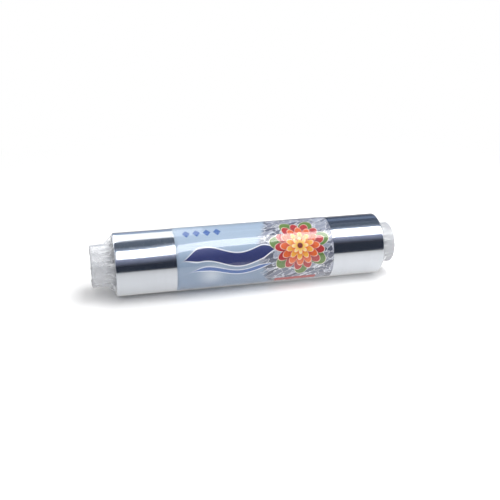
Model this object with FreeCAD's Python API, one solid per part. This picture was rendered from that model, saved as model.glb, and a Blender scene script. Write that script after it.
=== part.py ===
"""Aluminium foil roll for catering use, lying on its side in clear shrink film.

The foil is wound on a paperboard core that stands out at both ends. A printed band goes round the middle of
the roll. A sleeve of clear film holds it all: tight on the roll, gathered into tents at the roll's two ends,
tight again on the core, and folded over the core's rims.

Millimetres. X runs along the core, Z is up, and the roll rests on Z = 0 on a narrow flat that its own weight
has pressed. The origin is on that flat, under the middle of the core.
"""

import FreeCAD
import Part
import math
import os

Vector = FreeCAD.Vector
ALONG = Vector(1, 0, 0)

# Core: a paperboard tube, its rims chamfered by the cutting knife, further out of the foil at the left
CORE_RADIUS = 22.0
CORE_WALL = 3.0
CORE_EDGE = 0.8
CORE_OUT_LEFT = 24.35
CORE_OUT_RIGHT = 17.15

# Foil: 29 cm wide
FOIL_WIDTH = 290.0
FOIL_RADIUS = 33.3
FOIL_EDGE_RADIUS = 0.6
TURN_PITCH = 2.2
TURN_GROOVE = 1.1
TURN_DEPTH = 0.3

# Printed band round the foil, its two ends lapped and glued at the back
LABEL_WIDTH = 170.0
LABEL_SHIFT = 2.2
LABEL_THICKNESS = 0.12
LABEL_LAP = 12.0
LABEL_LAP_ANGLE = 20.0

# Clear shrink film
FILM_THICKNESS = 0.2
LABEL_SLOPE = 1.5
SEAL_WIDTH = 2.4
SEAL_HEIGHT = 0.15
SEAL_ANGLE = -25.0
CUT_EDGE_MARGIN = 0.4
CUT_EDGE_WAVE = 0.9

# Gathers of the film at each end of the roll
PLEATS = 20
FIRST_PLEAT_LEFT = 16.75
FIRST_PLEAT_RIGHT = 9.0
PLEAT_WANDER = 0.22
PLEAT_HEIGHT = 0.9
TENT_SHORT = 2.2
TENT_LONG = 10.5
VALLEY_REACH = 1.6

# Shared: the play between two layers, and how far the roll's weight has flattened it
LAYER_GAP = 0.08
FLAT_DEPTH = 0.22

# Worked out from the sizes above
CORE_LENGTH = CORE_OUT_LEFT + FOIL_WIDTH + CORE_OUT_RIGHT
CORE_BORE_RADIUS = CORE_RADIUS - CORE_WALL
FOIL_START = CORE_OUT_LEFT - CORE_LENGTH / 2
FOIL_END = CORE_LENGTH / 2 - CORE_OUT_RIGHT
LABEL_START = (FOIL_START + FOIL_END - LABEL_WIDTH) / 2 + LABEL_SHIFT
LABEL_END = LABEL_START + LABEL_WIDTH
LABEL_RADIUS = FOIL_RADIUS + LAYER_GAP + LABEL_THICKNESS
FILM_RADIUS = FOIL_RADIUS + LAYER_GAP + FILM_THICKNESS
FILM_LABEL_RADIUS = LABEL_RADIUS + LABEL_THICKNESS + LAYER_GAP + FILM_THICKNESS
AXIS_Z = FILM_RADIUS - FLAT_DEPTH
AXIS_POINT = Vector(0, 0, AXIS_Z)
LABEL_FLAT_Z = FILM_THICKNESS + LAYER_GAP
FOIL_FLAT_Z = LABEL_FLAT_Z + LABEL_THICKNESS + LAYER_GAP


def on_axis(x):
    """The point of the roll's axis at x."""
    return Vector(x, 0, AXIS_Z)


def polar(x, radius, degrees):
    """A point at x, that far from the axis; 0 degrees is the back, at +Y, and 90 is the top."""
    angle = math.radians(degrees)
    return Vector(x, radius * math.cos(angle), AXIS_Z + radius * math.sin(angle))


def rod(radius, start, end):
    """A solid cylinder along the axis."""
    return Part.makeCylinder(radius, end - start, on_axis(start), ALONG)


def revolved(edges, degrees=360.0):
    """A closed outline in the plane through the axis and +Y, turned about the axis."""
    return Part.Face(Part.Wire(edges)).revolve(AXIS_POINT, ALONG, degrees)


def outline_point(x, radius):
    """A point of such an outline."""
    return Vector(x, radius, AXIS_Z)


def straight_edges(points):
    """Straight edges from point to point."""
    return [Part.makeLine(a, b) for a, b in zip(points, points[1:])]


def round_edge(start, middle, end):
    """A round stretch of an outline."""
    return Part.Arc(start, middle, end).toShape()


def flattened(shape, z):
    """The shape without what lies below z, as the roll's weight has pressed it."""
    box = shape.BoundBox
    margin = 1.0
    waste = Part.makeBox(
        box.XLength + 2 * margin,
        box.YLength + 2 * margin,
        z - box.ZMin + margin,
        Vector(box.XMin - margin, box.YMin - margin, box.ZMin - margin),
    )
    return shape.cut(waste)


def soft_ends(start, end, radius, edge_radius):
    """The outline of a cylinder's two edges, each softened by two facets: the left one, then the right one."""
    in_corner = edge_radius * (1 - math.sqrt(0.5))
    left = [
        outline_point(start, radius - edge_radius),
        outline_point(start + in_corner, radius - in_corner),
        outline_point(start + edge_radius, radius),
    ]
    right = [
        outline_point(end - edge_radius, radius),
        outline_point(end - in_corner, radius - in_corner),
        outline_point(end, radius - edge_radius),
    ]
    return left, right


def barrel(start, end, radius, edge_radius):
    """A solid cylinder along the axis with softened edges."""
    left, right = soft_ends(start, end, radius, edge_radius)
    return revolved(straight_edges(left + right + [on_axis(end), on_axis(start), left[0]]))


def core_tube():
    """The paperboard tube, with both rims chamfered on the outside."""
    half = CORE_LENGTH / 2
    edges = straight_edges(
        [
            outline_point(-half, CORE_BORE_RADIUS),
            outline_point(-half, CORE_RADIUS - CORE_EDGE),
            outline_point(-half + CORE_EDGE, CORE_RADIUS),
            outline_point(half - CORE_EDGE, CORE_RADIUS),
            outline_point(half, CORE_RADIUS - CORE_EDGE),
            outline_point(half, CORE_BORE_RADIUS),
            outline_point(-half, CORE_BORE_RADIUS),
        ]
    )
    return revolved(edges)


def spiral_edges(x, first_radius, half_turns):
    """A spiral across the roll's end as half circles about two centres, which lie half a pitch apart."""
    shift = TURN_PITCH / 2
    edges = []
    for k in range(half_turns):
        radius = first_radius + k * shift
        over = k % 2 == 0
        centre_y = -shift / 2 if over else shift / 2
        side = 1 if over else -1
        start = Vector(x, centre_y + side * radius, AXIS_Z)
        middle = Vector(x, centre_y, AXIS_Z + side * radius)
        end = Vector(x, centre_y - side * radius, AXIS_Z)
        edges.append(round_edge(start, middle, end))
    return edges


def turns_groove(face_x, inward):
    """The spiral groove between turns that stand proud on one end of the roll, as the solid to cut away."""
    first_radius = CORE_RADIUS + TURN_PITCH
    last_radius = FOIL_RADIUS - FOIL_EDGE_RADIUS - TURN_GROOVE - TURN_PITCH / 2
    half_turns = int((last_radius - first_radius) / (TURN_PITCH / 2))
    near = spiral_edges(face_x, first_radius, half_turns)
    far = spiral_edges(face_x, first_radius + TURN_GROOVE, half_turns)
    mouth = Part.makeLine(near[0].Vertexes[0].Point, far[0].Vertexes[0].Point)
    tail = Part.makeLine(near[-1].Vertexes[-1].Point, far[-1].Vertexes[-1].Point)
    face = Part.Face(Part.Wire(Part.__sortEdges__(near + far + [mouth, tail])))
    return face.extrude(ALONG * (inward * TURN_DEPTH))


def foil_roll():
    """The wound foil as one solid: soft edges, the core's hole and the spiral of its turns at both ends."""
    roll = barrel(FOIL_START, FOIL_END, FOIL_RADIUS, FOIL_EDGE_RADIUS)
    roll = flattened(roll, FOIL_FLAT_Z)
    roll = roll.cut(rod(CORE_RADIUS + LAYER_GAP, FOIL_START - 1, FOIL_END + 1))
    for face_x, inward in ((FOIL_START, 1), (FOIL_END, -1)):
        roll = roll.cut(turns_groove(face_x, inward))
    return roll


def label_band():
    """The printed band, with the second layer where its ends lap."""
    inner_radius = FOIL_RADIUS + LAYER_GAP
    band = flattened(rod(LABEL_RADIUS, LABEL_START, LABEL_END), LABEL_FLAT_Z)
    lap_outline = straight_edges(
        [
            outline_point(LABEL_START, inner_radius),
            outline_point(LABEL_START, LABEL_RADIUS + LABEL_THICKNESS),
            outline_point(LABEL_END, LABEL_RADIUS + LABEL_THICKNESS),
            outline_point(LABEL_END, inner_radius),
            outline_point(LABEL_START, inner_radius),
        ]
    )
    lap = revolved(lap_outline, math.degrees(LABEL_LAP / LABEL_RADIUS))
    lap.rotate(AXIS_POINT, ALONG, LABEL_LAP_ANGLE)
    hollow = rod(inner_radius, LABEL_START - 1, LABEL_END + 1)
    hollow = flattened(hollow, LABEL_FLAT_Z + LABEL_THICKNESS)
    return band.fuse(lap).cut(hollow).removeSplitter()


def film_outline(inset):
    """The film's outline over the roll and the band, moved in by inset; its two ends are on the axis."""
    edge_radius = FOIL_EDGE_RADIUS + LAYER_GAP + FILM_THICKNESS - inset
    start = FOIL_START - LAYER_GAP - FILM_THICKNESS + inset
    end = FOIL_END + LAYER_GAP + FILM_THICKNESS - inset
    radius = FILM_RADIUS - inset
    over_label = FILM_LABEL_RADIUS - inset
    left, right = soft_ends(start, end, radius, edge_radius)
    over_band = [
        outline_point(LABEL_START - LABEL_SLOPE, radius),
        outline_point(LABEL_START, over_label),
        outline_point(LABEL_END, over_label),
        outline_point(LABEL_END + LABEL_SLOPE, radius),
    ]
    return straight_edges(left + over_band + right + [on_axis(end), on_axis(start), left[0]])


def fold_line(reach, height, length, inset):
    """One fold of a gathered end as (distance from the roll's end, radius) pairs, moved in by inset.

    It leaves the roll's edge, meets the core at reach, follows it at that height and turns in over its rim.
    """
    skin = LAYER_GAP + FILM_THICKNESS
    widest_gap = 180.0 / PLEATS * (1 + 2 * PLEAT_WANDER)
    chord_room = CORE_RADIUS * (1 - math.cos(math.radians(widest_gap) / 2))
    on_core = CORE_RADIUS + skin + chord_room
    base = FOIL_RADIUS - FOIL_EDGE_RADIUS - LAYER_GAP
    rim = length + skin
    points = [
        (skin, base),
        (skin + 0.4 * reach, base - 0.5 * (base - on_core - height)),
        (skin + reach, on_core + height),
        ((reach + rim) / 2, on_core + 0.5 * height),
        (rim - CORE_EDGE, on_core + 0.6 * height),
        (rim, on_core - CORE_EDGE + 0.3 * height),
    ]
    return [(distance - inset, radius - inset) for distance, radius in points]


def tent_reach(k):
    """How far along the core tent k of a gathered end reaches; long and short ones mix unevenly."""
    share = 0.5 + 0.5 * math.sin(2.3 * k + 0.8 * math.sin(1.1 * k))
    return TENT_SHORT + (TENT_LONG - TENT_SHORT) * share**2


def ridge_angle(k, first):
    """The angle of ridge k in degrees, unevenly spaced."""
    wander = PLEAT_WANDER * math.sin(2.4 * k + first)
    return first + 360.0 / PLEATS * (k + wander)


def gathered_end(face_x, outward, length, first, inset):
    """The space inside the film from the roll's end to the core's rim, bounded by flat folds."""
    lines = []
    for k in range(PLEATS):
        here = ridge_angle(k, first)
        after = ridge_angle(k + 1, first) if k + 1 < PLEATS else ridge_angle(0, first) + 360
        ridge = fold_line(tent_reach(k + first), PLEAT_HEIGHT, length, inset)
        valley = fold_line(VALLEY_REACH, 0.0, length, inset)
        for line, degrees in ((ridge, here), (valley, (here + after) / 2)):
            lines.append([polar(face_x + outward * a, r, degrees) for a, r in line])
    faces = []
    for line, other in zip(lines, lines[1:] + lines[:1]):
        for a, b, c, d in zip(line, line[1:], other[1:], other):
            faces.append(Part.Face(Part.makePolygon([a, b, c, a])))
            faces.append(Part.Face(Part.makePolygon([a, c, d, a])))
    for ring in ([line[0] for line in lines], [line[-1] for line in lines]):
        faces.append(Part.Face(Part.makePolygon(ring + ring[:1])))
    solid = Part.Solid(Part.Shell(faces))
    solid.fix(1e-6, 1e-6, 1e-6)
    if solid.Volume < 0:
        solid.reverse()
    return solid


def film_space(inset, flat_z):
    """All that lies inside the film's surface, or inside its wall where inset is its thickness."""
    space = flattened(revolved(film_outline(inset)), flat_z)
    left = gathered_end(FOIL_START, -1, CORE_OUT_LEFT, FIRST_PLEAT_LEFT, inset)
    right = gathered_end(FOIL_END, 1, CORE_OUT_RIGHT, FIRST_PLEAT_RIGHT, inset)
    return space.fuse([left, right])


def cut_edge_hole():
    """What the film leaves open over the core's bore: a prism with a wavy outline, right through."""
    reach = CORE_LENGTH / 2 + 2
    sides = 2 * PLEATS
    ring = []
    for k in range(sides):
        wave = 0.5 + 0.5 * math.sin(2.4 * k)
        radius = CORE_BORE_RADIUS / math.cos(math.pi / sides) + CUT_EDGE_MARGIN
        ring.append(polar(-reach, radius + CUT_EDGE_WAVE * wave, 360.0 * k / sides))
    return Part.Face(Part.makePolygon(ring + ring[:1])).extrude(ALONG * (2 * reach))


def film_seal():
    """The raised seam along the back of the sleeve."""
    edge = FOIL_EDGE_RADIUS + LAYER_GAP
    root = -FILM_THICKNESS / 2
    stations = [
        (FOIL_START + edge, FILM_RADIUS),
        (LABEL_START - LABEL_SLOPE, FILM_RADIUS),
        (LABEL_START, FILM_LABEL_RADIUS),
        (LABEL_END, FILM_LABEL_RADIUS),
        (LABEL_END + LABEL_SLOPE, FILM_RADIUS),
        (FOIL_END - edge, FILM_RADIUS),
    ]
    top = [outline_point(x, radius + SEAL_HEIGHT) for x, radius in stations]
    bottom = [outline_point(x, radius + root) for x, radius in reversed(stations)]
    seal = revolved(straight_edges(top + bottom + top[:1]), math.degrees(SEAL_WIDTH / FILM_RADIUS))
    seal.rotate(AXIS_POINT, ALONG, SEAL_ANGLE)
    return seal


def film_wrap():
    """The shrink film as one thin-walled solid, open over the core's bore at both ends."""
    skin = film_space(0.0, 0.0).cut(film_space(FILM_THICKNESS, FILM_THICKNESS))
    return skin.cut(cut_edge_hole()).fuse(film_seal())


def main():
    pieces = {
        "core_tube": core_tube(),
        "foil_roll": foil_roll(),
        "label_band": label_band(),
        "film_wrap": film_wrap(),
    }
    os.makedirs("parts", exist_ok=True)
    for name, shape in pieces.items():
        print(name, "valid", shape.isValid(), "solids", len(shape.Solids), "volume", round(shape.Volume, 1))
        shape.exportStep(f"parts/{name}.step")


main()
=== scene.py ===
"""A wound roll of aluminium foil in clear shrink film, in a plain white studio.

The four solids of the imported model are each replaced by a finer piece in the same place: the
paperboard core, the foil with its wound ends, the printed band and the gathered film. Lengths are in
metres unless a name or a comment says otherwise. X runs along the core and Z is up. Angles round the
roll are in degrees: 0 is the back, 90 the top and 180 the front.
"""

import math

import bpy
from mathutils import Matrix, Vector, noise

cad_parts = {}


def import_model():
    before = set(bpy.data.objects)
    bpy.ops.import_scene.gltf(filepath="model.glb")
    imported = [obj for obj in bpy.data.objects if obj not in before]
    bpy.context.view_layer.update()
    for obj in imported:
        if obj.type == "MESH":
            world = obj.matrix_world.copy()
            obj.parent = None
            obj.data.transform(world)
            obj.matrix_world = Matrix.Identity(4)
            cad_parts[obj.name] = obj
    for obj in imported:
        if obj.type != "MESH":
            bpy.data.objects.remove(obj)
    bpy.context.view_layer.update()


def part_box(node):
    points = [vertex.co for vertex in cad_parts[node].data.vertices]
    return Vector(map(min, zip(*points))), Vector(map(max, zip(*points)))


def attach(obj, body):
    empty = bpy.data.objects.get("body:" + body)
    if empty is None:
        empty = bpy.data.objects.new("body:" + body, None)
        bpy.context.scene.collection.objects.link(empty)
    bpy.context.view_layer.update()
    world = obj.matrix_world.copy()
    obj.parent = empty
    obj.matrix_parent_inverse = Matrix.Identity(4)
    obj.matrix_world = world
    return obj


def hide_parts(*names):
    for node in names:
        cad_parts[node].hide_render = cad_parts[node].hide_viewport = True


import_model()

MM = 0.001


def srgb(red, green, blue):
    """A colour written as 0 to 255, as the linear values that Blender takes."""
    linear = []
    for value in (red, green, blue):
        c = value / 255
        linear.append(c / 12.92 if c <= 0.04045 else ((c + 0.055) / 1.055) ** 2.4)
    return (*linear, 1.0)


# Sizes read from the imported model
CORE_LOW, CORE_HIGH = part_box("core_tube")
FOIL_LOW, FOIL_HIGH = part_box("foil_roll")
BAND_LOW, BAND_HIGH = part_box("label_band")
AXIS_Z = (CORE_LOW[2] + CORE_HIGH[2]) / 2
CORE_RADIUS = (CORE_HIGH[1] - CORE_LOW[1]) / 2
FOIL_RADIUS = (FOIL_HIGH[1] - FOIL_LOW[1]) / 2
CORE_HALF = (CORE_HIGH[0] - CORE_LOW[0]) / 2
FOIL_START, FOIL_END = FOIL_LOW[0], FOIL_HIGH[0]
BAND_START, BAND_END = BAND_LOW[0], BAND_HIGH[0]
BAND_MIDDLE = (BAND_START + BAND_END) / 2
FOIL_FLAT_Z = FOIL_LOW[2]
BAND_FLAT_Z = BAND_LOW[2]

# Sizes repeated from the part's source
BORE_RADIUS = 19.0 * MM
RIM_EDGE = 0.8 * MM
SHOULDER_EDGE = 0.6 * MM
LAYER_GAP = 0.08 * MM
BAND_THICKNESS = 0.12 * MM
BAND_SLOPE = 1.5 * MM
LAP_FROM, LAP_TO = 20.0, 40.5
FILM_THICKNESS = 0.2 * MM
SKIN = LAYER_GAP + FILM_THICKNESS
FILM_EDGE = SHOULDER_EDGE + SKIN
FILM_RADIUS = FOIL_RADIUS + SKIN
FILM_BAND_RADIUS = FOIL_RADIUS + SKIN + 2 * BAND_THICKNESS + LAYER_GAP

# The foil: how uneven its side is, and how the edges of its turns stand in and out on its ends
FOIL_UNEVEN = 0.02 * MM
TURN_EDGE_PITCH = 0.9 * MM
TURN_EDGE_SWING, TURN_EDGE_INSET = 0.10 * MM, 0.06 * MM

# The film's gathers at its two ends: where the foil ends and which way the core goes on, then the pleats
ENDS = {"left": (FOIL_START, -1), "right": (FOIL_END, 1)}
PLEATS = 20
FIRST_PLEAT = {"left": 16.75, "right": 9.0}
PLEAT_WANDER = 0.22
PLEAT_SHARPNESS = 1.35
PLEAT_HEIGHT = 0.9 * MM
TENT_SHORT, TENT_LONG = 2.2 * MM, 10.5 * MM
VALLEY_REACH = 1.6 * MM
GATHER_START = 3 * MM

# The film's creases: how far they wind round each end, in radians for a metre of core, and their height
CREASE_TWIST = {"left": -40.0, "right": 9.0}
CREASE_PLACE = {"left": 7, "right": 3}
CREASE_SPREAD, CREASE_LENGTHWAYS = 1.4, 25
CREASE_SHARPNESS = 5.0
CREASE_FLOOR = -0.4
CREASE_HEIGHT, CREASE_HEIGHT_AT_ROLL = 0.018 * MM, 0.035 * MM
CREASE_FADE = 14 * MM

# The film on each rim: how crumpled it is, from 0 to 1, which also sets how much painted shade darkens
# its crinkles, how far its crinkles stand out, and its cut edge
RIM_CRUMPLE_AND_SHADE = {"left": 1.0, "right": 0.25}
CRUMPLE_AND_SHADE_LEAST, CRUMPLE_AND_SHADE_RISE = 0.4, 2.5
CRINKLE_OUT = 0.9 * MM
CRINKLE_DEGREES = 7
CRINKLE_FROM = 0.75
CRINKLE_REACH = 6 * MM
CUT_INSIDE, CUT_WAVE = 0.5 * MM, 0.9 * MM
RIM_BULGE = 0.05 * MM

# The film on the roll: its ripples, which grow towards the ends, and its raised lap along the back
RIPPLE_HEIGHT, RIPPLE_HEIGHT_AT_END = 0.02 * MM, 0.12 * MM
RIPPLE_REACH = 22 * MM
SEAL_FROM, SEAL_TO = -25.0, -20.9
SEAL_HEIGHT = 0.15 * MM

# How cloudy the film is, from 0 to 1, in parts that add up
MILK_ON_ROLL = 0.015
MILK_ON_RIPPLE = 0.05
MILK_ON_SEAL = 0.08
MILK_AT_ENDS = 0.04
MILK_ON_CORE = {"left": 0.22, "right": 0.35}
MILK_ON_TENT = 0.34
MILK_ON_CREASE = 0.12
MILK_ON_RIM = 0.55
TENT_MILK_FADE = 10 * MM

# Fineness of the meshes
TURN_STEPS, BAND_TURN_STEPS, FILM_TURN_STEPS = 288, 720, 400
CORE_STATIONS, CORE_FACE_STATIONS = 24, 6
FOIL_STATIONS, FOIL_FACE_STATIONS = 121, 60
BAND_STATIONS = 49
FILM_STATIONS, FILM_BAND_STATIONS = 26, 60
FOLD_STEPS = (12, 14, 12, 12, 4)
FOLD_ROWS = sum(FOLD_STEPS)
RIM_ROWS = 6
CARD_STEPS = 12

# The board, foil and film
BOARD_PALE, BOARD_GREY = srgb(208, 209, 212), srgb(192, 193, 197)
BOARD_PATCH, BOARD_SEAM = srgb(217, 218, 221), srgb(170, 170, 172)
BOARD_SEAM_PITCH = 92 * MM
FOIL_BRIGHT, FOIL_STREAK, FOIL_TURN_EDGE = srgb(215, 219, 226), srgb(212, 216, 223), srgb(176, 181, 190)
FOIL_ROUGHNESS, FOIL_LINE_ROUGHNESS, FOIL_END_ROUGHNESS = 0.12, 0.03, 0.25
FILM_CLEAR, FILM_EDGE_ON = (0.975, 0.98, 0.985, 1), (0.42, 0.43, 0.46, 1)
# The second film colour is painted shade: the dark grey given to the crinkles of the film's rim
FILM_HAZE, FILM_CRUMPLE_SHADE = srgb(230, 232, 236), srgb(112, 114, 120)
FILM_GLOSS, FILM_GLOSS_RISE = 0.075, 0.5
FILM_ROUGHNESS, FILM_ROUGHNESS_RISE = 0.06, 0.35

# The print, in hundredths of a metre: across is along the roll from the band's middle, up is round it
PRINT_UNITS = 100
# The blue field's first two colours are painted shade low on the roll and painted light high on it, over
# its steel blue; the third is its soft glow
STEEL_SHADED_LOW, STEEL_LIT_HIGH, STEEL_GLOW = srgb(138, 158, 184), srgb(170, 190, 212), srgb(214, 222, 230)
NAVY, BLUE, PAPER_WHITE = srgb(30, 44, 112), srgb(62, 104, 176), srgb(242, 245, 249)
ORANGE, RED, AMBER = srgb(232, 104, 30), srgb(190, 30, 34), srgb(246, 186, 60)
BRICK, LEAF, PETAL_RIM = srgb(120, 24, 30), srgb(98, 134, 50), srgb(255, 240, 222)
CRUSHED_DARK, CRUSHED_LIGHT = srgb(40, 44, 70), srgb(190, 195, 212)
CRUSHED_MIDDLE, CRUSHED_FOLD = srgb(118, 124, 150), srgb(246, 248, 252)
CRUSHED_SCALE = 2.1
CRUSHED_FROM, CRUSHED_TO = -0.4, 0.3
GLOW_CENTRE, GLOW_RADIUS, GLOW_SOFT = (-4.9, -2.1), 0.9, 1.1
BAR_CENTRE, BAR_HALF_WIDTH, BAR_HALF_HEIGHT = (4.4, -3.95), 2.3, 0.36
EDGE_SOFT = 0.03

# The flower's rings from the back: petals, inner and outer radius, turn in radians, tip and base colours
FLOWER_CENTRE, FLOWER_EYE = (4.75, 0.35), 0.3
FLOWER_RINGS = (
    (7, 1.3, 3.35, 0.2, LEAF, srgb(58, 92, 40)),
    (13, 2.05, 2.75, 0.0, RED, BRICK),
    (12, 1.55, 2.15, 0.3, ORANGE, RED),
    (10, 0.95, 1.5, 0.1, AMBER, ORANGE),
    (8, 0.45, 0.85, 0.4, srgb(252, 226, 150), AMBER),
)

# The ribbons from the back: height on the print, swing, half height, colour, and both ends
RIBBONS = (
    (-0.15, 0.42, 0.80, PAPER_WHITE, -8.1, 2.5),
    (-0.15, 0.42, 0.68, NAVY, -8.0, 2.4),
    (-1.65, 0.34, 0.28, PAPER_WHITE, -7.4, 2.0),
    (-1.65, 0.34, 0.20, BLUE, -7.3, 1.9),
)
RIBBON_WAVE, RIBBON_TAPER = 0.85, 2.0
DIAMOND_HALF = 0.42
DIAMONDS = ((-7.2, 2.9), (-6.1, 2.9), (-5.0, 2.9), (-3.9, 2.9))

# The camera, and the angle round the roll at which the print's middle faces it
VIEW_ANGLE = 157.0
CAMERA_PLACE = Vector((-0.1513, -0.6890, 0.3225))
CAMERA_YAW, CAMERA_PITCH = 12.79, 22.0
LENS_MM, SENSOR_MM = 49.97, 36.0

# The floor: its matt part near the roll, what lifts it for the camera, with painted light that lifts it
# more on the right and thins the roll's shadow there, and what metal mirrors of it
FLOOR_HALF = 12.0
FLOOR_COLOUR = (0.93, 0.93, 0.935, 1)
FLOOR_LIT_RADIUS, FLOOR_FADE = 0.30, 0.45
FLOOR_LIFT, FLOOR_PAINTED_LIGHT_RIGHT = 0.05, 0.15
FLOOR_PAINTED_LIGHT_X = (-0.06, 0.08)
FLOOR_MIRRORED, FLOOR_MIRRORED_RISE = 1.12, 0.26
FLOOR_MIRRORED_X, FLOOR_MIRRORED_Y = (-0.1, 0.2), (0.5, -0.1)
FLOOR_MIRRORED_COLOUR = (1.0, 0.985, 0.96, 1)
FLOOR_MIRRORED_SHARE = 0.75

# The light: the world's level, and each lamp's place, size and watts
WORLD_LEVEL = 0.63
LAMPS = {
    "lamp_main": ((0.34, 0.0, 1.45), (0.8, 0.6), 10.0),
    "lamp_fill": ((0.25, -0.7, 1.35), (1.6, 0.9), 7.5),
}

# The tunnel of cards that foil and film mirror, and the x on it that parts of the roll mirror
TENT_RADIUS, TENT_END = 1.6, 6.0
LIGHT_START = -0.180
ROLL_END_SEEN = -0.124
MIDDLE_SEEN = 0.175

# x on the tunnel, and the angles there at which the overhead card starts, and the long light starts
# and ends
LIGHT_EDGES = (
    (-TENT_END, 67, 113, 141),
    (LIGHT_START, 67, 112, 140),
    (ROLL_END_SEEN, 67, 112, 140),
    (0.02, 67, 111, 139),
    (MIDDLE_SEEN, 66, 99, 127),
    (0.505, 63, 94, 122),
    (0.772, 63, 94, 125),
    (TENT_END, 63, 94, 125),
)
FRINGE_OVERHEAD, FRINGE_IN_FRONT = 14, 26
FRONT_END = 182

# The cards with level edges: the two angles and the two x that each lies between
LEVEL_CARDS = {
    "card_back_right_0": (6, 29, MIDDLE_SEEN, TENT_END),
    "card_back_right_1": (29, 46, MIDDLE_SEEN, TENT_END),
    "card_back_right_2": (46, 63, MIDDLE_SEEN, TENT_END),
    "card_back_left": (26, 66, ROLL_END_SEEN, MIDDLE_SEEN),
    "card_back_far_left": (26, 72, -TENT_END, ROLL_END_SEEN),
    "card_horizon_left": (0, 26, -TENT_END, MIDDLE_SEEN),
}

# The dark strip on the floor in front: x and y along its edge, and its height
TABLE_EDGE = ((-TENT_END, -0.27), (-0.4, -0.27), (0.4, -0.33), (TENT_END, -0.33))
TABLE_CARD_Z = 0.5 * MM

# How bright each card is at its first and second edge, and its tint
NAVY_TINT, GREY_TINT, WHITE_TINT = srgb(184, 206, 246), srgb(184, 203, 230), srgb(255, 255, 255)
DEEP_TINT, FRINGE_TINT = srgb(150, 186, 250), srgb(190, 198, 230)
CARD_GLOW = {
    "card_front": (0.04, 0.04, DEEP_TINT),
    "card_fringe_front": (0.75, 0.04, FRINGE_TINT),
    "card_light": (5.0, 5.0, WHITE_TINT),
    "card_light_left": (0.5, 0.5, WHITE_TINT),
    "card_fringe_top": (0.24, 0.7, GREY_TINT),
    "card_top": (0.28, 0.19, GREY_TINT),
    "card_back_right_0": (0.20, 0.20, NAVY_TINT),
    "card_back_right_1": (0.42, 0.42, NAVY_TINT),
    "card_back_right_2": (0.16, 0.16, NAVY_TINT),
    "card_back_left": (1.6, 1.6, WHITE_TINT),
    "card_back_far_left": (4.5, 4.5, WHITE_TINT),
    "card_horizon_left": (1.0, 0.9, GREY_TINT),
    "card_table_edge": (0.04, 0.04, DEEP_TINT),
}


def mixed(a, b, share):
    """The value that far from a to b."""
    return a + (b - a) * share


def smooth(share):
    """An even start and stop, from 0 to 1."""
    share = min(max(share, 0.0), 1.0)
    return share * share * (3 - 2 * share)


def stations(start, end, count):
    """Evenly spaced places from start to end, both included."""
    return [start + (end - start) * k / (count - 1) for k in range(count)]


def polar(x, radius, degrees):
    """A point at x, that far from the roll's axis."""
    angle = math.radians(degrees)
    return Vector((x, radius * math.cos(angle), AXIS_Z + radius * math.sin(angle)))


def grid_piece(name, rows, close_rows=False, uvs=None):
    """A smooth mesh through rows of points. Each row goes once round the roll and closes on itself.

    close_rows joins the last row to the first. uvs(i, j) gives the UV of a corner, where j runs to the
    row's full length.
    """
    turn = len(rows[0])
    points = [point for row in rows for point in row]
    faces, corners = [], []
    spans = len(rows) if close_rows else len(rows) - 1
    for i in range(spans):
        for j in range(turn):
            here, above = i * turn, ((i + 1) % len(rows)) * turn
            faces.append((here + j, here + (j + 1) % turn, above + (j + 1) % turn, above + j))
            corners.append(((i, j), (i, j + 1), (i + 1, j + 1), (i + 1, j)))
    mesh = bpy.data.meshes.new(name)
    mesh.from_pydata(points, [], faces)
    mesh.polygons.foreach_set("use_smooth", [True] * len(faces))
    if uvs:
        layer = mesh.uv_layers.new(name="print")
        flat = [value for face in corners for i, j in face for value in uvs(i, j)]
        layer.data.foreach_set("uv", flat)
    mesh.update()
    piece = bpy.data.objects.new(name, mesh)
    bpy.context.scene.collection.objects.link(piece)
    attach(piece, "root")
    return piece


def turned_rows(profile):
    """Rows for a grid: each (x, radius) of the profile turned about the roll's axis."""
    angles = [360 * j / TURN_STEPS for j in range(TURN_STEPS)]
    return [[polar(x, radius, degrees) for degrees in angles] for x, radius in profile]


def corner(x, radius, edge, x_way, steps=5):
    """A rounded corner of a profile as (x, radius) points, from the side to the end face.

    x_way is 1 or -1, the way from the end face into the roll.
    """
    points = []
    for k in range(steps + 1):
        angle = math.radians(90 * k / steps)
        points.append((x + x_way * edge * (1 - math.sin(angle)), radius - edge * (1 - math.cos(angle))))
    return points


def core_piece():
    """The paperboard tube: its bore, its two rims and its outside."""
    side = CORE_RADIUS
    face = stations(BORE_RADIUS, side - RIM_EDGE, CORE_FACE_STATIONS)[1:-1]
    profile = [(x, BORE_RADIUS) for x in stations(CORE_HALF, -CORE_HALF, CORE_STATIONS)]
    profile += [(-CORE_HALF, radius) for radius in face]
    profile += corner(-CORE_HALF, side, RIM_EDGE, 1)[::-1]
    profile += [(x, side) for x in stations(-CORE_HALF, CORE_HALF, CORE_STATIONS)[1:-1]]
    profile += corner(CORE_HALF, side, RIM_EDGE, -1)
    profile += [(CORE_HALF, radius) for radius in face[::-1]]
    piece = grid_piece("core_board", turned_rows(profile), close_rows=True)
    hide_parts("core_tube")
    return piece


def make_side_uneven(point):
    """Moves a point of the foil's side a little out or in."""
    wave = noise.noise(Vector((point.x * 14, point.y * 34, point.z * 34)))
    reach = 1 + FOIL_UNEVEN / FOIL_RADIUS * (wave - 0.5)
    point.y *= reach
    point.z = AXIS_Z + (point.z - AXIS_Z) * reach


def show_turn_edge(point, radius):
    """Moves a point of the foil's end along x, as the edges of its spiral turns stand in and out."""
    turned = math.atan2(point.z - AXIS_Z, point.y) / math.tau
    place = Vector(((radius / TURN_EDGE_PITCH - turned) * 2.1, turned, point.x * 40))
    inwards = 1 if point.x < 0 else -1
    point.x += (TURN_EDGE_SWING * noise.noise(place) + TURN_EDGE_INSET) * inwards


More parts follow.
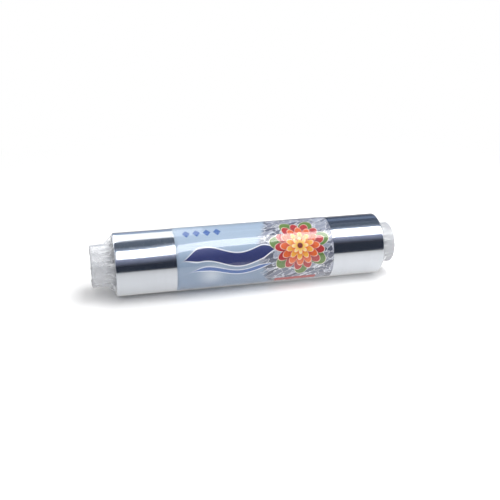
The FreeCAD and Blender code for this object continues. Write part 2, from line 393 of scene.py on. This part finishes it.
def foil_piece():
    """The wound foil: its outside, faintly uneven, and its two ends down to the core."""
    radii = stations(CORE_RADIUS + LAYER_GAP, FOIL_RADIUS - SHOULDER_EDGE, FOIL_FACE_STATIONS)
    profile = [(FOIL_START, radius) for radius in radii[:-1]]
    profile += corner(FOIL_START, FOIL_RADIUS, SHOULDER_EDGE, 1)[::-1]
    profile += [(x, FOIL_RADIUS) for x in stations(FOIL_START, FOIL_END, FOIL_STATIONS)[1:-1]]
    profile += corner(FOIL_END, FOIL_RADIUS, SHOULDER_EDGE, -1)
    profile += [(FOIL_END, radius) for radius in radii[-2::-1]]
    rows = turned_rows(profile)
    for (_, radius), row in zip(profile, rows):
        for point in row:
            if radius > FOIL_RADIUS - SHOULDER_EDGE / 2:
                make_side_uneven(point)
            else:
                show_turn_edge(point, radius)
            point.z = max(point.z, FOIL_FLAT_Z)
    piece = grid_piece("foil_turns", rows)
    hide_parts("foil_roll")
    return piece


def band_row(x, radius, inner):
    """One turn of the band at x, with its lap, and flat underneath."""
    row = []
    for j in range(BAND_TURN_STEPS):
        degrees = 360 * j / BAND_TURN_STEPS
        lapped = LAP_FROM <= degrees <= LAP_TO and radius > inner
        point = polar(x, radius + (BAND_THICKNESS if lapped else 0), degrees)
        point.z = max(point.z, BAND_FLAT_Z + (BAND_THICKNESS if radius == inner else 0))
        row.append(point)
    return row


def band_piece():
    """The printed band: a thin ring with a second layer where its ends lap."""
    inner = FOIL_RADIUS + LAYER_GAP
    outer = inner + BAND_THICKNESS
    profile = [(BAND_START, inner), (BAND_START, outer)]
    profile += [(x, outer) for x in stations(BAND_START, BAND_END, BAND_STATIONS)[1:-1]]
    profile += [(BAND_END, outer), (BAND_END, inner)]
    rows = [band_row(x, radius, inner) for x, radius in profile]

    def print_place(i, j):
        """Where a corner is on the flat print, from the middle of its front."""
        along = profile[i][0] - BAND_MIDDLE
        round_it = math.radians(VIEW_ANGLE - 360 * j / BAND_TURN_STEPS) * outer
        return along * PRINT_UNITS, round_it * PRINT_UNITS

    piece = grid_piece("label_sheet", rows, uvs=print_place)
    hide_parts("label_band")
    return piece


def tent_reach(k):
    """How far along the core tent k of a gathered end reaches."""
    share = 0.5 + 0.5 * math.sin(2.3 * k + 0.8 * math.sin(1.1 * k))
    return mixed(TENT_SHORT, TENT_LONG, share**2)


def ridge_angle(k, first):
    """The angle of ridge k in degrees."""
    turn, k = divmod(k, PLEATS)
    return 360 * turn + first + 360 / PLEATS * (k + PLEAT_WANDER * math.sin(2.4 * k + first))


def pleat_at(degrees, first):
    """The pleat at an angle: the reach of the tent there, and how near it is to a ridge, from 0 to 1."""
    k = math.floor((degrees - first) * PLEATS / 360) - 1
    while ridge_angle(k + 1, first) <= degrees:
        k += 1
    before, after = ridge_angle(k, first), ridge_angle(k + 1, first)
    share = (degrees - before) / (after - before)
    ridge = k if share < 0.5 else k + 1
    return tent_reach(ridge % PLEATS + first), abs(2 * share - 1) ** PLEAT_SHARPNESS


def film_fold(reach, height, length):
    """One fold of a gathered end as (distance from the roll's end, radius), from the roll to the rim.

    It falls from the shoulder to the core within reach, and stands off the core by height there.
    """
    base = FOIL_RADIUS - SHOULDER_EDGE
    on_core = CORE_RADIUS + SKIN
    rim = length + SKIN
    return [
        (SKIN, base),
        (SKIN + 0.4 * reach, base - 0.45 * (base - on_core - height)),
        (SKIN + reach, on_core + height),
        ((reach + rim) / 2, on_core + 0.2 * height),
        (rim - RIM_EDGE, on_core + 0.25 * height),
        (rim, on_core - RIM_EDGE + 0.3 * height),
    ]


def cut_edge_radius(degrees, first):
    """How far from the axis the film's wavy cut edge is, on the rim's face."""
    angle = math.radians(degrees)
    wave = 0.5 + 0.5 * math.sin(angle * 7 + first) * math.cos(angle * 3)
    return BORE_RADIUS + CUT_INSIDE + CUT_WAVE * wave


def gathered_line(degrees, side):
    """The film's line at one angle of a gathered end, as (distance from the roll's end, radius) points.

    It goes from the roll's edge over the core to the film's cut edge.
    """
    first = FIRST_PLEAT[side]
    length = CORE_HALF - abs(ENDS[side][0])
    reach, near_ridge = pleat_at(degrees, first)
    ridge = film_fold(reach, PLEAT_HEIGHT, length)
    valley = film_fold(VALLEY_REACH, 0.0, length)
    marks = []
    for (ridge_out, ridge_radius), (valley_out, valley_radius) in zip(ridge, valley):
        out = mixed(valley_out, ridge_out, near_ridge)
        marks.append((out, mixed(valley_radius, ridge_radius, near_ridge)))
    line = []
    for (out_a, radius_a), (out_b, radius_b), steps in zip(marks, marks[1:], FOLD_STEPS):
        for k in range(steps):
            line.append((mixed(out_a, out_b, k / steps), mixed(radius_a, radius_b, k / steps)))
    rim_out, rim_radius = marks[-1]
    cut_radius = cut_edge_radius(degrees, first)
    for share in stations(0, 1, RIM_ROWS):
        bulge = RIM_BULGE * math.sin(share * math.pi)
        line.append((rim_out + bulge, mixed(rim_radius, cut_radius, share)))
    return line


def film_crease(degrees, x, side):
    """The fine creases that wind along the core: 1 on a crease, falling to CREASE_FLOOR between them."""
    turn = math.radians(degrees) + CREASE_TWIST[side] * x
    lengthways = x * CREASE_LENGTHWAYS + CREASE_PLACE[side]
    place = Vector((math.cos(turn) * CREASE_SPREAD, math.sin(turn) * CREASE_SPREAD, lengthways))
    off_crease = abs(noise.noise(place) + 0.25 * noise.noise(place * 2.3))
    return max(1 - CREASE_SHARPNESS * off_crease, CREASE_FLOOR)


def gathered_point(side, degrees, i, out, radius):
    """Point i of a gathered end's line, with how cloudy the film is there, and how crumpled, which also
    sets the painted shade on its rim.

    out and radius are where the line has it.
    """
    face, way = ENDS[side]
    x = face + way * out
    gathered = smooth(out / GATHER_START)
    past_rim = i - FOLD_ROWS
    crease = film_crease(degrees, x, side) if past_rim < 0 else 0.0
    crease_height = mixed(CREASE_HEIGHT_AT_ROLL, CREASE_HEIGHT, smooth(out / CREASE_FADE))
    radius += crease_height * crease * gathered

    crinkle = max(0.0, noise.noise(Vector((degrees / CRINKLE_DEGREES, 3.0 * way, 0.5))))
    near_rim = smooth((out - CRINKLE_FROM * (CORE_HALF - abs(face))) / CRINKLE_REACH)
    x += way * CRINKLE_OUT * near_rim**3 * crinkle
    on_rim = smooth((past_rim + 6) / 3) * (1 - smooth(past_rim / 3))
    # This also sets the painted shade: how far the rim's film is darkened towards a dark grey
    crumple_and_shade = RIM_CRUMPLE_AND_SHADE[side] * on_rim * min(1.0, CRUMPLE_AND_SHADE_LEAST + CRUMPLE_AND_SHADE_RISE * crinkle)

    reach, near_ridge = pleat_at(degrees, FIRST_PLEAT[side])
    on_tent = 1 - smooth((out - 0.4 * reach) / TENT_MILK_FADE)
    milk = MILK_AT_ENDS + MILK_ON_CORE[side] * gathered
    milk += MILK_ON_TENT * on_tent * near_ridge**3
    milk += MILK_ON_CREASE * max(crease - 0.6, 0)
    milk += MILK_ON_RIM * crumple_and_shade
    return polar(x, radius, degrees), milk, crumple_and_shade


def gathered_rows(side, angles):
    """The rows of a gathered end, from the roll outwards."""
    lines = [gathered_line(degrees, side) for degrees in angles]
    rows = []
    for i in range(len(lines[0])):
        rows.append([gathered_point(side, degrees, i, *line[i]) for degrees, line in zip(angles, lines)])
    return rows


def tight_profile():
    """The film's line along the roll as (x, radius), over the band from shoulder to shoulder."""
    start, end = FOIL_START + FILM_EDGE, FOIL_END - FILM_EDGE
    profile = corner(FOIL_START - SKIN, FILM_RADIUS, FILM_EDGE, 1)[::-1][1:]
    profile += [(x, FILM_RADIUS) for x in stations(start, BAND_START - BAND_SLOPE, FILM_STATIONS)[1:]]
    profile += [(x, FILM_BAND_RADIUS) for x in stations(BAND_START, BAND_END, FILM_BAND_STATIONS)]
    profile += [(x, FILM_RADIUS) for x in stations(BAND_END + BAND_SLOPE, end, FILM_STATIONS)[:-1]]
    profile += corner(FOIL_END + SKIN, FILM_RADIUS, FILM_EDGE, -1)[:-1]
    return profile


def tight_point(x, radius, degrees):
    """A point of the film on the roll, with how cloudy the film is there, and no crumple or painted
    shade.
    """
    turn = math.radians(degrees)
    ripple = noise.noise(Vector((math.cos(turn) * 9, math.sin(turn) * 9, x * 30)))
    near_end = 1 - smooth(min(x - FOIL_START, FOIL_END - x) / RIPPLE_REACH)
    radius += mixed(RIPPLE_HEIGHT, RIPPLE_HEIGHT_AT_END, near_end) * ripple
    milk = MILK_ON_ROLL + MILK_ON_RIPPLE * near_end * max(ripple, 0.0)
    between_shoulders = FOIL_START + FILM_EDGE <= x <= FOIL_END - FILM_EDGE
    if between_shoulders and SEAL_FROM <= degrees - 360 <= SEAL_TO:
        radius += SEAL_HEIGHT
        milk += MILK_ON_SEAL
    return polar(x, radius, degrees), milk, 0.0


def film_piece():
    """The shrink film as one sheet: tight on the roll, gathered at its ends and folded over the rims."""
    angles = [360 * j / FILM_TURN_STEPS for j in range(FILM_TURN_STEPS)]
    rows = gathered_rows("left", angles)[::-1]
    for x, radius in tight_profile():
        rows.append([tight_point(x, radius, degrees) for degrees in angles])
    rows += gathered_rows("right", angles)
    for row in rows:
        for point, _, _ in row:
            point.z = max(point.z, 0.0)
    points = [[point for point, _, _ in row] for row in rows]
    piece = grid_piece("film_sleeve", points)
    for k, name in ((1, "milk"), (2, "crumple_and_shade")):
        values = [made[k] for row in rows for made in row]
        piece.data.attributes.new(name, "FLOAT", "POINT").data.foreach_set("value", values)
    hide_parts("film_wrap")
    return piece


class Nodes:
    """A short way to write the nodes of a material or world: each call gives back a node's output."""

    def __init__(self, owner, output="ShaderNodeOutputMaterial"):
        self.owner = owner
        owner.use_nodes = True
        self.tree = owner.node_tree
        self.tree.nodes.clear()
        self.output = self.tree.nodes.new(output)

    def fill(self, node, inputs):
        """Links an output or sets a value for each input, by its name or number."""
        for key, value in inputs.items():
            if isinstance(value, bpy.types.NodeSocket):
                self.tree.links.new(value, node.inputs[key])
            else:
                node.inputs[key].default_value = value

    def add(self, kind, inputs=(), output=0, **settings):
        node = self.tree.nodes.new(kind)
        for key, value in settings.items():
            setattr(node, key, value)
        self.fill(node, dict(inputs))
        return node.outputs[output]

    def math(self, operation, *values):
        return self.add("ShaderNodeMath", dict(enumerate(values)), operation=operation)

    def length(self, a, b):
        """How long a step is that goes a one way and b at right angles to it."""
        squares = self.math("ADD", self.math("MULTIPLY", a, a), self.math("MULTIPLY", b, b))
        return self.math("SQRT", squares)

    def step(self, value, start, end):
        """0 before start, 1 after end, smooth between; start may be the greater, and then it falls."""
        inputs = {"Value": value, "From Min": start, "From Max": end}
        return self.add("ShaderNodeMapRange", inputs, interpolation_type="SMOOTHSTEP")

    def colour(self, first, second, share):
        """The colour that far from first to second. Sockets 6, 7 and 2 are the node's colour ones."""
        node = self.tree.nodes.new("ShaderNodeMix")
        node.data_type = "RGBA"
        self.fill(node, {0: share, 6: first, 7: second})
        return node.outputs[2]

    def place(self):
        """The point's place in its object, which is its place in the frame."""
        return self.add("ShaderNodeTexCoord", output=3)

    def scaled(self, vector, scale):
        return self.add("ShaderNodeMapping", {"Vector": vector, "Scale": scale})

    def noise(self, vector, scale, detail=3.0, roughness=0.5):
        inputs = {"Vector": vector, "Scale": scale, "Detail": detail, "Roughness": roughness}
        return self.add("ShaderNodeTexNoise", inputs)

    def attribute(self, name):
        """A number that the mesh keeps for each point."""
        return self.add("ShaderNodeAttribute", output=2, attribute_name=name)

    def facing(self, **inputs):
        """0 where the surface faces the eye, and 1 where it is seen edge on."""
        return self.add("ShaderNodeLayerWeight", {"Blend": 0.5, **inputs}, output=1)

    def bump(self, height, strength, distance):
        return self.add("ShaderNodeBump", {"Height": height, "Strength": strength, "Distance": distance})

    def principled(self, **inputs):
        named = {key.replace("_", " "): value for key, value in inputs.items()}
        return self.add("ShaderNodeBsdfPrincipled", named)

    def surface(self, shader):
        self.tree.links.new(shader, self.output.inputs["Surface"])
        return self.owner


def new_material(name):
    """The nodes of a new material."""
    return Nodes(bpy.data.materials.new(name))


def wear(piece, material):
    """Gives a piece its one material."""
    piece.data.materials.clear()
    piece.data.materials.append(material)


def round_place(n):
    """Round the roll in turns, along it and out from its axis, from a point's place."""
    apart = n.add("ShaderNodeSeparateXYZ", {"Vector": n.place()}).node
    y, z = apart.outputs[1], n.math("SUBTRACT", apart.outputs[2], AXIS_Z)
    turns = n.math("DIVIDE", n.math("ARCTAN2", z, y), math.tau)
    return turns, apart.outputs[0], n.length(y, z)


def board_material():
    """Pale grey paperboard with fibres, and the helical seam of its outer ply."""
    n = new_material("core_board")
    turns, along, _ = round_place(n)
    helix = n.math("ADD", turns, n.math("DIVIDE", along, BOARD_SEAM_PITCH))
    in_seam = n.step(n.math("ABSOLUTE", n.math("SUBTRACT", n.math("FRACT", helix), 0.5)), 0.012, 0.002)
    fibres = n.noise(n.scaled(n.place(), (300, 900, 900)), 1.0, 5.0, 0.65)
    patches = n.noise(n.place(), 60.0)
    paper = n.colour(BOARD_PALE, BOARD_GREY, n.step(fibres, 0.35, 0.7))
    paper = n.colour(paper, BOARD_PATCH, n.math("MULTIPLY", n.step(patches, 0.45, 0.75), 0.5))
    paper = n.colour(paper, BOARD_SEAM, n.math("MULTIPLY", in_seam, 0.6))
    height = n.math("SUBTRACT", n.math("MULTIPLY", fibres, 0.4), in_seam)
    shader = n.principled(Base_Color=paper, Roughness=0.85, Normal=n.bump(height, 0.35, 0.3 * MM))
    return n.surface(shader)


def foil_material():
    """Bright foil: a mirror with fine rolling lines round the roll, and turned layers on its ends."""
    n = new_material("foil")
    turns, _, out = round_place(n)
    normal_x = n.add("ShaderNodeSeparateXYZ", {"Vector": n.add("ShaderNodeNewGeometry", output=1)})
    on_end = n.step(n.math("ABSOLUTE", normal_x), 0.6, 0.9)
    lines = n.noise(n.scaled(n.place(), (2600, 12, 12)), 1.0, 2.0)
    streaks = n.noise(n.scaled(n.place(), (420, 6, 6)), 1.0, 2.0)
    layer_place = n.add("ShaderNodeCombineXYZ", {"X": n.math("MULTIPLY", out, 5200), "Y": turns})
    layers = n.noise(layer_place, 1.0, 3.0, 0.7)
    metal = n.colour(FOIL_BRIGHT, FOIL_STREAK, n.step(streaks, 0.35, 0.7))
    metal = n.colour(metal, FOIL_TURN_EDGE, n.math("MULTIPLY", on_end, n.step(layers, 0.35, 0.65)))
    rough = n.math("MULTIPLY_ADD", n.step(lines, 0.3, 0.75), FOIL_LINE_ROUGHNESS, FOIL_ROUGHNESS)
    rough = n.math("MULTIPLY_ADD", on_end, FOIL_END_ROUGHNESS, rough)
    relief = n.math("MULTIPLY", lines, 0.05)
    relief = n.math("MULTIPLY_ADD", n.math("MULTIPLY", layers, on_end), 6.0, relief)
    normal = n.bump(relief, 0.25, 0.02 * MM)
    return n.surface(n.principled(Base_Color=metal, Metallic=1.0, Roughness=rough, Normal=normal))


def apart_from(n, across, up, centre):
    """How far a place of the print is from a centre: across, up and in a straight line."""
    dx, dy = n.math("SUBTRACT", across, centre[0]), n.math("SUBTRACT", up, centre[1])
    return dx, dy, n.length(dx, dy)


def shape_disc(n, across, up, centre, radius, soft=EDGE_SOFT):
    """1 inside a disc of the print."""
    reach = apart_from(n, across, up, centre)[2]
    return n.step(reach, radius + soft, radius - soft)


def shape_petals(n, across, up, centre, count, inner, outer, turned):
    """Petals in a ring: 1 inside them, then how far out a place is, from the centre to the tips."""
    dx, dy, reach = apart_from(n, across, up, centre)
    angle = n.math("ADD", n.math("ARCTAN2", dy, dx), turned)
    wave = n.math("ABSOLUTE", n.math("SINE", n.math("MULTIPLY", angle, count / 2)))
    edge = n.math("MULTIPLY_ADD", n.math("POWER", wave, 0.7), outer - inner, inner)
    inside = n.step(n.math("SUBTRACT", reach, edge), EDGE_SOFT, -EDGE_SOFT)
    return inside, n.math("DIVIDE", reach, outer)


def shape_bar(n, across, up, centre, half_width, half_height):
    """1 inside an upright oblong of the print."""
    dx, dy, _ = apart_from(n, across, up, centre)
    wide = n.step(n.math("ABSOLUTE", dx), half_width + EDGE_SOFT, half_width - EDGE_SOFT)
    high = n.step(n.math("ABSOLUTE", dy), half_height + EDGE_SOFT, half_height - EDGE_SOFT)
    return n.math("MULTIPLY", wide, high)


def shape_diamond(n, across, up, centre, half):
    """1 inside a diamond of the print, which is taller than it is wide."""
    dx, dy, _ = apart_from(n, across, up, centre)
    off = n.math("MULTIPLY_ADD", n.math("ABSOLUTE", dy), 0.75, n.math("ABSOLUTE", dx))
    return n.step(off, half + EDGE_SOFT, half - EDGE_SOFT)


def shape_ribbon(n, across, up, level, swing, half_height, start, end):
    """1 inside a waved ribbon that runs along the print and tapers to its ends."""
    swayed = n.math("MULTIPLY", n.math("SINE", n.math("MULTIPLY", across, RIBBON_WAVE)), swing)
    off = n.math("ABSOLUTE", n.math("SUBTRACT", up, n.math("ADD", swayed, level)))
    begun = n.step(across, start, start + RIBBON_TAPER)
    unended = n.step(across, end, end - RIBBON_TAPER)
    edge = n.math("SUBTRACT", off, n.math("MULTIPLY", n.math("MULTIPLY", begun, unended), half_height))
    return n.step(edge, EDGE_SOFT, -EDGE_SOFT)


def crushed_ground(n, across, up):
    """A slow bend over the print, and its ground like crushed foil: long facets with bright folds."""
    flow = n.add("ShaderNodeCombineXYZ", {"X": n.math("MULTIPLY", across, 0.8), "Y": up})
    bend = n.math("SUBTRACT", n.noise(flow, 0.8, 4.0, 0.6), 0.5)
    slanted = n.math("MULTIPLY_ADD", across, -0.35, up)
    facet_x = n.math("MULTIPLY_ADD", bend, 1.2, n.math("MULTIPLY", across, 0.36))
    facet_y = n.math("MULTIPLY_ADD", bend, 1.6, slanted)
    facet_place = n.add("ShaderNodeCombineXYZ", {"X": facet_x, "Y": facet_y})
    cells = {"Vector": facet_place, "Scale": CRUSHED_SCALE}
    edges = n.add("ShaderNodeTexVoronoi", cells, feature="DISTANCE_TO_EDGE")
    facets = n.add("ShaderNodeTexVoronoi", cells, output=1)
    tone = n.math("POWER", n.add("ShaderNodeSeparateColor", {"Color": facets}), 1.3)
    grey = n.colour(CRUSHED_DARK, CRUSHED_LIGHT, tone)
    grey = n.colour(grey, CRUSHED_MIDDLE, 0.25)
    return bend, n.colour(CRUSHED_FOLD, grey, n.step(edges, 0.0, 0.055))


def print_ground(n, across, up):
    """The print's grounds: the blue field, with painted light and shade that make it lighter high on the
    roll and darker low on it, and a soft glow; and crushed foil on its right.
    """
    # Painted light and shade: the field goes from darker low on the roll to lighter high on it
    field = n.colour(STEEL_SHADED_LOW, STEEL_LIT_HIGH, n.step(up, -2.6, 3.0))
    glow = shape_disc(n, across, up, GLOW_CENTRE, GLOW_RADIUS, GLOW_SOFT)
    field = n.colour(field, STEEL_GLOW, n.math("MULTIPLY", glow, 0.75))
    bend, crushed = crushed_ground(n, across, up)
    slanted = n.math("MULTIPLY_ADD", n.math("ABSOLUTE", up), -0.35, across)
    on_right = n.math("MULTIPLY_ADD", bend, 2.4, slanted)
    return n.colour(field, crushed, n.step(on_right, CRUSHED_FROM, CRUSHED_TO))


def print_colours(n, across, up):
    """The whole print as a colour: its grounds, ribbons and diamonds, the flower and the bar."""
    field = print_ground(n, across, up)
    for level, swing, half, shade, start, end in RIBBONS:
        field = n.colour(field, shade, shape_ribbon(n, across, up, level, swing, half, start, end))
    for centre in DIAMONDS:
        field = n.colour(field, BLUE, shape_diamond(n, across, up, centre, DIAMOND_HALF))
    for count, inner, outer, turned, tip, base in FLOWER_RINGS:
        rim, _ = shape_petals(n, across, up, FLOWER_CENTRE, count, inner - 0.05, outer + 0.06, turned)
        field = n.colour(field, PETAL_RIM, rim)
        petals, out = shape_petals(n, across, up, FLOWER_CENTRE, count, inner - 0.1, outer, turned)
        field = n.colour(field, n.colour(base, tip, n.step(out, 0.35, 0.95)), petals)
    field = n.colour(field, BRICK, shape_disc(n, across, up, FLOWER_CENTRE, FLOWER_EYE))
    bar = shape_bar(n, across, up, BAR_CENTRE, BAR_HALF_WIDTH, BAR_HALF_HEIGHT)
    return n.colour(field, RED, bar)


def label_material():
    """The printed paper: the same design twice round the roll."""
    n = new_material("label_print")
    uv = n.add("ShaderNodeUVMap", uv_map="print")
    apart = n.add("ShaderNodeSeparateXYZ", {"Vector": uv}).node
    half_turn = math.pi * (FOIL_RADIUS + LAYER_GAP + BAND_THICKNESS) * PRINT_UNITS
    up = n.math("WRAP", apart.outputs[1], half_turn / 2, -half_turn / 2)
    colours = print_colours(n, apart.outputs[0], up)
    grain = n.noise(n.place(), 2400.0, 2.0)
    inked = n.colour(colours, srgb(255, 255, 255), n.math("MULTIPLY", n.step(grain, 0.5, 0.9), 0.05))
    shader = n.principled(Base_Color=inked, Roughness=0.42, Normal=n.bump(grain, 0.06, 0.1 * MM))
    return n.surface(shader)


def film_material():
    """Clear shrink film: seen through, glossy at every angle, cloudy where it is gathered, and darkened
    by painted shade where its rim is crumpled.
    """
    n = new_material("clear_film")
    waves = n.noise(n.scaled(n.place(), (60, 160, 160)), 1.0, 3.0, 0.55)
    normal = n.bump(waves, 0.08, 0.5 * MM)
    milk = n.attribute("milk")
    clear = n.colour(FILM_CLEAR, FILM_EDGE_ON, n.math("POWER", n.facing(), 5.0))
    through = n.add("ShaderNodeBsdfTransparent", {"Color": clear})
    dull = n.math("MULTIPLY_ADD", milk, FILM_ROUGHNESS_RISE, FILM_ROUGHNESS)
    shine = n.add("ShaderNodeBsdfGlossy", {"Color": (1, 1, 1, 1), "Roughness": dull, "Normal": normal})
    glance = n.math("POWER", n.facing(Normal=normal), 5.0)
    gloss = n.math("MULTIPLY_ADD", glance, FILM_GLOSS_RISE, FILM_GLOSS)
    sheet = n.add("ShaderNodeMixShader", {0: gloss, 1: through, 2: shine})
    # Painted shade: the film is darkened towards a dark grey where its rim is crumpled
    tone = n.colour(FILM_HAZE, FILM_CRUMPLE_SHADE, n.attribute("crumple_and_shade"))
    haze = n.principled(Base_Color=tone, Roughness=0.5, Normal=normal)
    return n.surface(n.add("ShaderNodeMixShader", {0: milk, 1: sheet, 2: haze}))


def camera():
    """The camera, where the photograph was taken from."""
    data = bpy.data.cameras.new("camera")
    data.lens = LENS_MM
    data.sensor_width = SENSOR_MM
    data.clip_start, data.clip_end = 0.01, 100.0
    seen_from = bpy.data.objects.new("camera", data)
    yaw, pitch = math.radians(CAMERA_YAW), math.radians(CAMERA_PITCH)
    ahead = Vector((math.sin(yaw) * math.cos(pitch), math.cos(yaw) * math.cos(pitch), -math.sin(pitch)))
    seen_from.location = CAMERA_PLACE
    seen_from.rotation_mode = "QUATERNION"
    seen_from.rotation_quaternion = ahead.to_track_quat("-Z", "Y")
    bpy.context.scene.collection.objects.link(seen_from)
    bpy.context.scene.camera = seen_from


def stage_mesh(name, points, faces, material):
    """A mesh that belongs to the studio, not to the object."""
    mesh = bpy.data.meshes.new(name)
    mesh.from_pydata(points, [], faces)
    mesh.materials.append(material)
    thing = bpy.data.objects.new(name, mesh)
    bpy.context.scene.collection.objects.link(thing)
    return thing


def ray_kinds(n):
    """1 for rays from the camera, then 1 for rays that metal mirrors or clear things let through."""
    rays = n.add("ShaderNodeLightPath").node.outputs
    return rays["Is Camera Ray"], n.math("MAXIMUM", rays["Is Glossy Ray"], rays["Is Transmission Ray"])


def first_hand(n):
    """0 for a ray that comes by way of a matt surface, and 1 for any other."""
    depth = n.add("ShaderNodeLightPath").node.outputs["Diffuse Depth"]
    return n.math("SUBTRACT", 1.0, n.math("MINIMUM", depth, 1.0))


def floor_material():
    """Pale and matt round the roll, with painted light on its right for the camera, white further away,
    and mostly a plain glow to metal and film.
    """
    n = new_material("studio_floor")
    apart = n.add("ShaderNodeSeparateXYZ", {"Vector": n.place()}).node
    x, y = apart.outputs[0], apart.outputs[1]
    camera_ray, mirrored_ray = ray_kinds(n)
    matt = n.add("ShaderNodeBsdfDiffuse", {"Color": FLOOR_COLOUR})
    # Painted light: the camera sees the floor lifted more on the right, which thins the roll's shadow
    # there
    lift_and_painted_light_level = n.math("MULTIPLY_ADD", n.step(x, *FLOOR_PAINTED_LIGHT_X), FLOOR_PAINTED_LIGHT_RIGHT, FLOOR_LIFT)
    lift_and_painted_light = n.add("ShaderNodeEmission", {"Strength": n.math("MULTIPLY", camera_ray, lift_and_painted_light_level)})
    near = n.add("ShaderNodeAddShader", {0: matt, 1: lift_and_painted_light})
    white = n.add("ShaderNodeEmission", {"Strength": n.math("MAXIMUM", camera_ray, mirrored_ray)})
    far = n.step(n.length(x, y), FLOOR_LIT_RADIUS, FLOOR_LIT_RADIUS + FLOOR_FADE)
    plain = n.add("ShaderNodeMixShader", {0: far, 1: near, 2: white})
    rise = n.math("MULTIPLY_ADD", n.step(x, *FLOOR_MIRRORED_X), FLOOR_MIRRORED_RISE, FLOOR_MIRRORED)
    level = n.math("MULTIPLY", rise, n.step(n.math("ABSOLUTE", y), *FLOOR_MIRRORED_Y))
    mirrored = n.add("ShaderNodeEmission", {"Color": FLOOR_MIRRORED_COLOUR, "Strength": level})
    share = n.math("MULTIPLY", n.math("MULTIPLY", mirrored_ray, first_hand(n)), FLOOR_MIRRORED_SHARE)
    return n.surface(n.add("ShaderNodeMixShader", {0: share, 1: plain, 2: mirrored}))


def floor():
    """The studio's floor, which keeps the roll's shadow."""
    h = FLOOR_HALF
    points = [(-h, -h, 0), (h, -h, 0), (h, h, 0), (-h, h, 0)]
    stage_mesh("studio_floor", points, [(0, 1, 2, 3)], floor_material())


def glow_material(name, tint):
    """A card's glow, as bright as its points say. It lights nothing by way of a matt surface."""
    n = new_material(name)
    strength = n.math("MULTIPLY", first_hand(n), n.attribute("level"))
    return n.surface(n.add("ShaderNodeEmission", {"Color": tint, "Strength": strength}))


def mirrored_only(name, points, faces, levels):
    """A glowing sheet that only glossy rays see, with a level for each point."""
    thing = stage_mesh(name, points, faces, glow_material(name, CARD_GLOW[name][2]))
    thing.data.attributes.new("level", "FLOAT", "POINT").data.foreach_set("value", levels)
    thing.visible_camera = False
    thing.visible_diffuse = False
    thing.visible_transmission = False
    thing.visible_volume_scatter = False
    thing.visible_shadow = False


def card(name, first_edge, second_edge):
    """A curved card of the tunnel between two edges, each a list of (x, angle)."""
    first_level, second_level, _ = CARD_GLOW[name]
    points, levels = [], []
    for (x, first), (_, second) in zip(first_edge, second_edge):
        for share in stations(0, 1, CARD_STEPS + 1):
            points.append(tuple(polar(x, TENT_RADIUS, mixed(first, second, share))))
            levels.append(mixed(first_level, second_level, share))
    faces = []
    for i in range(len(first_edge) - 1):
        for k in range(CARD_STEPS):
            a = i * (CARD_STEPS + 1) + k
            faces.append((a, a + 1, a + CARD_STEPS + 2, a + CARD_STEPS + 1))
    mirrored_only(name, points, faces, levels)


def table_card():
    """A dark strip close over the floor in front, up to the table's edge."""
    points = [(x, y, TABLE_CARD_Z) for x, edge in TABLE_EDGE for y in (-TENT_RADIUS, edge)]
    faces = [(k, k + 1, k + 3, k + 2) for k in range(0, len(points) - 2, 2)]
    level = CARD_GLOW["card_table_edge"][0]
    mirrored_only("card_table_edge", points, faces, [level] * len(points))


def tunnel():
    """The cards that the foil mirrors: dark in front and overhead, with a long soft light between."""
    overhead = [(x, start) for x, start, _, _ in LIGHT_EDGES]
    light_start = [(x, start) for x, _, start, _ in LIGHT_EDGES]
    light_end = [(x, end) for x, _, _, end in LIGHT_EDGES]
    fringe_start = [(x, degrees - FRINGE_OVERHEAD) for x, degrees in light_start]
    fringe_end = [(x, degrees + FRINGE_IN_FRONT) for x, degrees in light_end]
    front_end = [(x, FRONT_END) for x, _ in light_end]
    card("card_front", fringe_end, front_end)
    card("card_fringe_front", light_end, fringe_end)
    card("card_light", light_start[1:], light_end[1:])
    card("card_light_left", light_start[:2], light_end[:2])
    card("card_fringe_top", fringe_start, light_start)
    card("card_top", overhead, fringe_start)
    for name, (first, second, x_from, x_to) in LEVEL_CARDS.items():
        xs = [x for x, _ in overhead if x_from <= x <= x_to]
        card(name, [(x, first) for x in xs], [(x, second) for x in xs])
    table_card()


def soft_lamp(name, place, size, watts):
    """An oblong soft light that faces the roll. The cards stand for it where metal mirrors it."""
    data = bpy.data.lights.new(name, "AREA")
    data.shape = "RECTANGLE"
    data.size, data.size_y = size
    data.energy = watts
    lamp = bpy.data.objects.new(name, data)
    lamp.location = place
    lamp.rotation_mode = "QUATERNION"
    lamp.rotation_quaternion = (Vector((0, 0, AXIS_Z)) - Vector(place)).to_track_quat("-Z", "Y")
    lamp.visible_glossy = False
    bpy.context.scene.collection.objects.link(lamp)


def world():
    """White where it is seen, and a plain soft light elsewhere."""
    n = Nodes(bpy.data.worlds.new("studio"), "ShaderNodeOutputWorld")
    seen = n.math("MAXIMUM", *ray_kinds(n))
    level = n.add("ShaderNodeMapRange", {"Value": seen, "To Min": WORLD_LEVEL, "To Max": 1.0})
    background = n.add("ShaderNodeBackground", {"Color": (1, 1, 1, 1), "Strength": level})
    bpy.context.scene.world = n.surface(background)


def main():
    """Sets up the studio, then makes the four pieces and gives each its material."""
    bpy.context.scene.view_settings.view_transform = "Standard"
    camera()
    world()
    floor()
    tunnel()
    for name, (place, size, watts) in LAMPS.items():
        soft_lamp(name, place, size, watts)
    wear(core_piece(), board_material())
    wear(foil_piece(), foil_material())
    wear(band_piece(), label_material())
    wear(film_piece(), film_material())


main()
